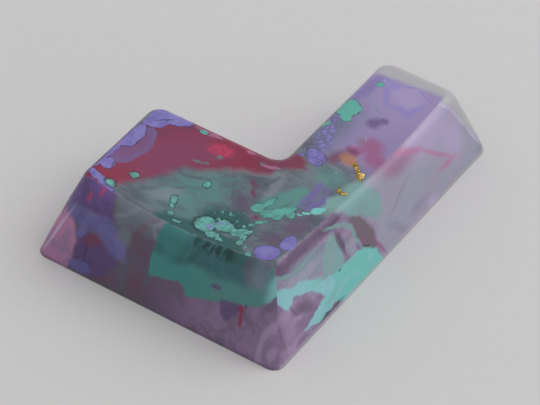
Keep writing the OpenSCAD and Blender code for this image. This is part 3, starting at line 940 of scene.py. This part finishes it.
def sidePattern(p, shape, x, y, z):
    # The row's back wall takes a calmer stretch, under crimson and lilac that come down from the top
    c, s = pigment, onward
    onBack = p.maths("LESS_THAN", y - shape.rowEdge, shape.legEdge - x)
    onBack = onBack * p.maths("LESS_THAN", x, shape.legEdge)
    onEnd = p.maths("GREATER_THAN", y - shape.topD, x - shape.topW)
    tone = paintSide(p, y * (1 - onBack) + (x * s["backStretch"] + s["backStart"]) * onBack, z)
    flow = p.noise(p.mapped(p.warp(p.flat(x, z), 0.35, 1.2), 0, (0.35, 0.5)), 1.0, 4, 0.6)
    crimson = onBack * p.ramp(z + flow * 6, *s["crimsonFrom"]) * s["crimsonShare"]
    tone = p.mix(crimson, tone, p.blend(flow, 0.4, 0.6, c["plum"], c["crimson"]))
    lilac = onBack * p.ramp(x + flow * 4, *s["lilacLeftOf"]) * p.ramp(z + flow * 5, *s["lilacFrom"])
    tone = p.mix(lilac, tone, c["lilac"])
    return p.mix(onEnd * p.ramp(flow, 0.48, 0.66) * 0.5, tone, c["lightLilac"])


def dressCap(piece, shape):
    mesh = piece.data
    patterns = ("resinTop", topPattern), ("resinFront", frontPattern), ("resinSide", sidePattern)
    for name, pattern in patterns:
        mesh.materials.append(resinShader(name, polish, shape, pattern))
    centres = np.array([tuple(polygon.center) for polygon in mesh.polygons]) / mm
    x, y = centres[:, 0], centres[:, 1]
    front, right, left, back = -shape.topD - y, x - shape.topW, -shape.topW - x, y - shape.topD
    notch = np.minimum(y - shape.rowEdge, shape.legEdge - x) - onward["notchMargin"]
    frontOrLeft, other = np.maximum(front, left), np.maximum(np.maximum(right, back), notch)
    slots = np.where(np.maximum(frontOrLeft, other) < 0, 0, np.where(frontOrLeft > other, 1, 2))
    mesh.polygons.foreach_set("material_index", slots.astype(np.int32))
    mesh.update()


dressCap(capBody, capShape)
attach(capBody, "root")
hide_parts("keycap")


class Growth(Paint):
    # Builds a Geometry Nodes tree with the same helpers
    def __init__(self, name, sockets):
        self.tree = bpy.data.node_groups.new(name, "GeometryNodeTree")
        for label, kind in sockets:
            self.tree.interface.new_socket(label, in_out="INPUT", socket_type="NodeSocket" + kind)
        self.tree.interface.new_socket("Result", in_out="OUTPUT", socket_type="NodeSocketGeometry")
        self.given = self.node("NodeGroupInput")

    def take(self, label):
        return Wire(self, self.given.outputs[label])

    def step(self, kind, inputs, settings=None, output=0):
        return Wire(self, self.node(kind, settings, inputs).outputs[output])


# Gold leaf, and near-white specks that are painted glints, on the top. Patches: x, y, half width, half
# height and turn in degrees
leaf = dict(
    patches=[(8.75, 1.3, 0.5, 0.22, -30), (9.75, 0.5, 0.62, 0.3, -38), (9.5, -2.5, 0.42, 0.14, 8)],
    shade=tint(138, 104, 48), tint=tint(222, 196, 118), metallic=1.0, roughness=(0.22, 0.42), grain=4.0,
    inputs={"Density": 34.0, "Size": 0.3, "Flatness": 0.3, "Crumple": 0.24, "Seed": 5},
)
# Near-white specks standing in for small glints: painted glints
glints = dict(
    patches=[
        (7.5, 5.0, 0.2, 0.2, 0), (7.8, -0.7, 0.3, 0.2, 0), (8.9, -8.3, 0.25, 0.2, 0),
        (7.2, -11.5, 0.2, 0.2, 0), (4.6, 13.0, 0.25, 0.25, 0),
    ],
    shade=tint(206, 202, 216), tint=tint(244, 242, 246), metallic=0.0, roughness=(0.2, 0.32), grain=9.0,
    inputs={"Density": 9.0, "Size": 0.055, "Flatness": 0.6, "Crumple": 0.05, "Seed": 2},
)


# A flake's form and how flakes are strewn: tilt and turn in radians, sizes as shares of the whole
flake = dict(
    subdivisions=2, narrow=0.7, tilt=0.6, turn=6.28, smallest=0.45, largest=1.25, crumpleScale=6.0,
    patchSteps=12,
)


def flakeTree(s):
    g = Growth("flakeScatter", (
        ("Patches", "Geometry"), ("Density", "Float"), ("Size", "Float"), ("Flatness", "Float"),
        ("Crumple", "Float"), ("Seed", "Int"), ("Material", "Material")))
    seed = g.take("Seed")
    spread = g.step("GeometryNodeDistributePointsOnFaces", {
        "Mesh": g.take("Patches"), "Density": g.take("Density"), "Seed": seed})
    ball = g.step("GeometryNodeMeshIcoSphere", {"Radius": g.take("Size"), "Subdivisions": s["subdivisions"]})
    squash = g.step("ShaderNodeCombineXYZ", {"X": 1.0, "Y": s["narrow"], "Z": g.take("Flatness")})
    flat = g.step("GeometryNodeTransform", {"Geometry": ball, "Scale": squash})
    tilt = s["tilt"]
    turns = {0: (-tilt, -tilt, 0), 1: (tilt, tilt, s["turn"]), "Seed": seed}
    turn = g.step("FunctionNodeRandomValue", turns, {"data_type": "FLOAT_VECTOR"})
    sizes = {2: s["smallest"], 3: s["largest"], "Seed": seed}
    grow = g.step("FunctionNodeRandomValue", sizes, {"data_type": "FLOAT"}, 1)
    many = g.step("GeometryNodeInstanceOnPoints", {
        "Points": spread, "Instance": flat, "Rotation": turn, "Scale": grow})
    plain = g.step("GeometryNodeRealizeInstances", {"Geometry": many})
    place = g.step("GeometryNodeInputPosition", {})
    push = g.vector("SUBTRACT", g.noise(place, s["crumpleScale"], output="Color"), (0.5, 0.5, 0.5))
    push = g.vector("SCALE", push, g.take("Crumple"))
    bent = g.step("GeometryNodeSetPosition", {"Geometry": plain, "Offset": push})
    done = g.step("GeometryNodeSetMaterial", {"Geometry": bent, "Material": g.take("Material")})
    g.feed(g.node("NodeGroupOutput").inputs["Result"], done)
    return g.tree


def patchMesh(name, shape, patches, steps):
    # Flat ellipses on the top, sunk with its rounded right edge
    points, faces = [], []
    bend = shape.s["edgeRadius"]
    for x, y, wide, high, turn in patches:
        c, s = math.cos(math.radians(turn)), math.sin(math.radians(turn))
        a = np.linspace(0, 2 * math.pi, steps, endpoint=False)
        across, up = wide * np.cos(a), high * np.sin(a)
        plan = np.column_stack([x + across * c - up * s, y + across * s + up * c])
        over = np.clip(plan[:, 0] - shape.topW + bend, 0, bend)
        z = shape.topHeight(plan) - bend + np.sqrt(bend ** 2 - over ** 2)
        faces.append(tuple(range(len(points), len(points) + len(a))))
        points.extend(tuple(float(v) for v in p) for p in liftRing(plan, z))
    mesh = bpy.data.meshes.new(name)
    mesh.from_pydata(points, [], faces)
    return mesh


def makeFlakes(name, s, tree, shape):
    p = Paint(name)
    grain = p.noise(p.vector("SCALE", p.own(), 1 / mm), s["grain"], 3)
    p.feed(p.shader.inputs["Base Color"], p.blend(grain, 0.38, 0.62, s["shade"], s["tint"]))
    p.feed(p.shader.inputs["Metallic"], s["metallic"])
    p.feed(p.shader.inputs["Roughness"], p.ramp(grain, 0.35, 0.65, *s["roughness"]))
    patches = patchMesh(name + "Patches", shape, s["patches"], flake["patchSteps"])
    host = bpy.data.objects.new(name + "Patches", patches)
    bpy.context.scene.collection.objects.link(host)
    scatter = host.modifiers.new("scatter", "NODES")
    scatter.node_group = tree
    values = {**s["inputs"], "Material": p.material}
    for item in tree.interface.items_tree:
        if item.in_out == "INPUT" and item.name in values:
            scatter[item.identifier] = values[item.name]
    seen = host.evaluated_get(bpy.context.evaluated_depsgraph_get())
    mesh = bpy.data.meshes.new_from_object(seen)
    bpy.data.objects.remove(host)
    mesh.transform(Matrix.Scale(mm, 4))
    piece = bpy.data.objects.new(name, mesh)
    bpy.context.scene.collection.objects.link(piece)
    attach(piece, "root")
    print(name + ":", len(mesh.polygons), "faces")


flakes = flakeTree(flake)
makeFlakes("goldLeaf", leaf, flakes, capShape)
makeFlakes("glintSpecks", glints, flakes, capShape)

# Camera at the photograph's place: metres, and the lens in millimetres on a 36 mm sensor
view = dict(
    place=(0.139829, -0.235503, 0.260999), forward=(-0.36832, 0.62258, -0.69046),
    right=(0.83666, 0.5458, 0.04584), lens=266.67, sensor=36, nearest=0.01,
)


def makeCamera(s):
    forward, right = Vector(s["forward"]).normalized(), Vector(s["right"])
    right = (right - forward * right.dot(forward)).normalized()
    turn = Matrix((right, right.cross(forward), -forward)).transposed().to_4x4()
    data = bpy.data.cameras.new("camera")
    data.lens, data.sensor_width, data.clip_start = s["lens"], s["sensor"], s["nearest"]
    made = bpy.data.objects.new("camera", data)
    made.matrix_world = Matrix.Translation(s["place"]) @ turn
    bpy.context.scene.collection.objects.link(made)
    bpy.context.scene.camera = made


makeCamera(view)

# Table top, soft box and sky
studio = dict(
    floorHalf=3.0, floorShade=tint(203, 202, 202), floorTint=tint(207, 206, 206), sky=0.64,
    paperGrain=900.0, paperRoughness=0.85,
    lampPlace=(0.3, 0.35, 0.6), lampSize=0.6, lampPower=2.5,
)


def makeStudio(s):
    h = s["floorHalf"]
    mesh = bpy.data.meshes.new("tableTop")
    mesh.from_pydata([(-h, -h, 0), (h, -h, 0), (h, h, 0), (-h, h, 0)], [], [(0, 1, 2, 3)])
    table = bpy.data.objects.new("tableTop", mesh)
    bpy.context.scene.collection.objects.link(table)
    paper = Paint("palePaper")
    fibre = paper.noise(paper.own(), s["paperGrain"], 4)
    paper.feed(paper.shader.inputs["Base Color"], paper.mix(fibre, s["floorShade"], s["floorTint"]))
    paper.feed(paper.shader.inputs["Roughness"], s["paperRoughness"])
    mesh.materials.append(paper.material)
    world = bpy.data.worlds.new("sky")
    world.use_nodes = True
    world.node_tree.nodes["Background"].inputs["Color"].default_value = (1, 1, 1, 1)
    world.node_tree.nodes["Background"].inputs["Strength"].default_value = s["sky"]
    bpy.context.scene.world = world
    lamp = bpy.data.lights.new("softBox", "AREA")
    lamp.energy, lamp.size = s["lampPower"], s["lampSize"]
    made = bpy.data.objects.new("softBox", lamp)
    place = Vector(s["lampPlace"])
    made.matrix_world = Matrix.Translation(place) @ place.to_track_quat("Z", "Y").to_matrix().to_4x4()
    bpy.context.scene.collection.objects.link(made)
    bpy.context.scene.view_settings.view_transform = "Standard"


makeStudio(studio)
print("studio ready")
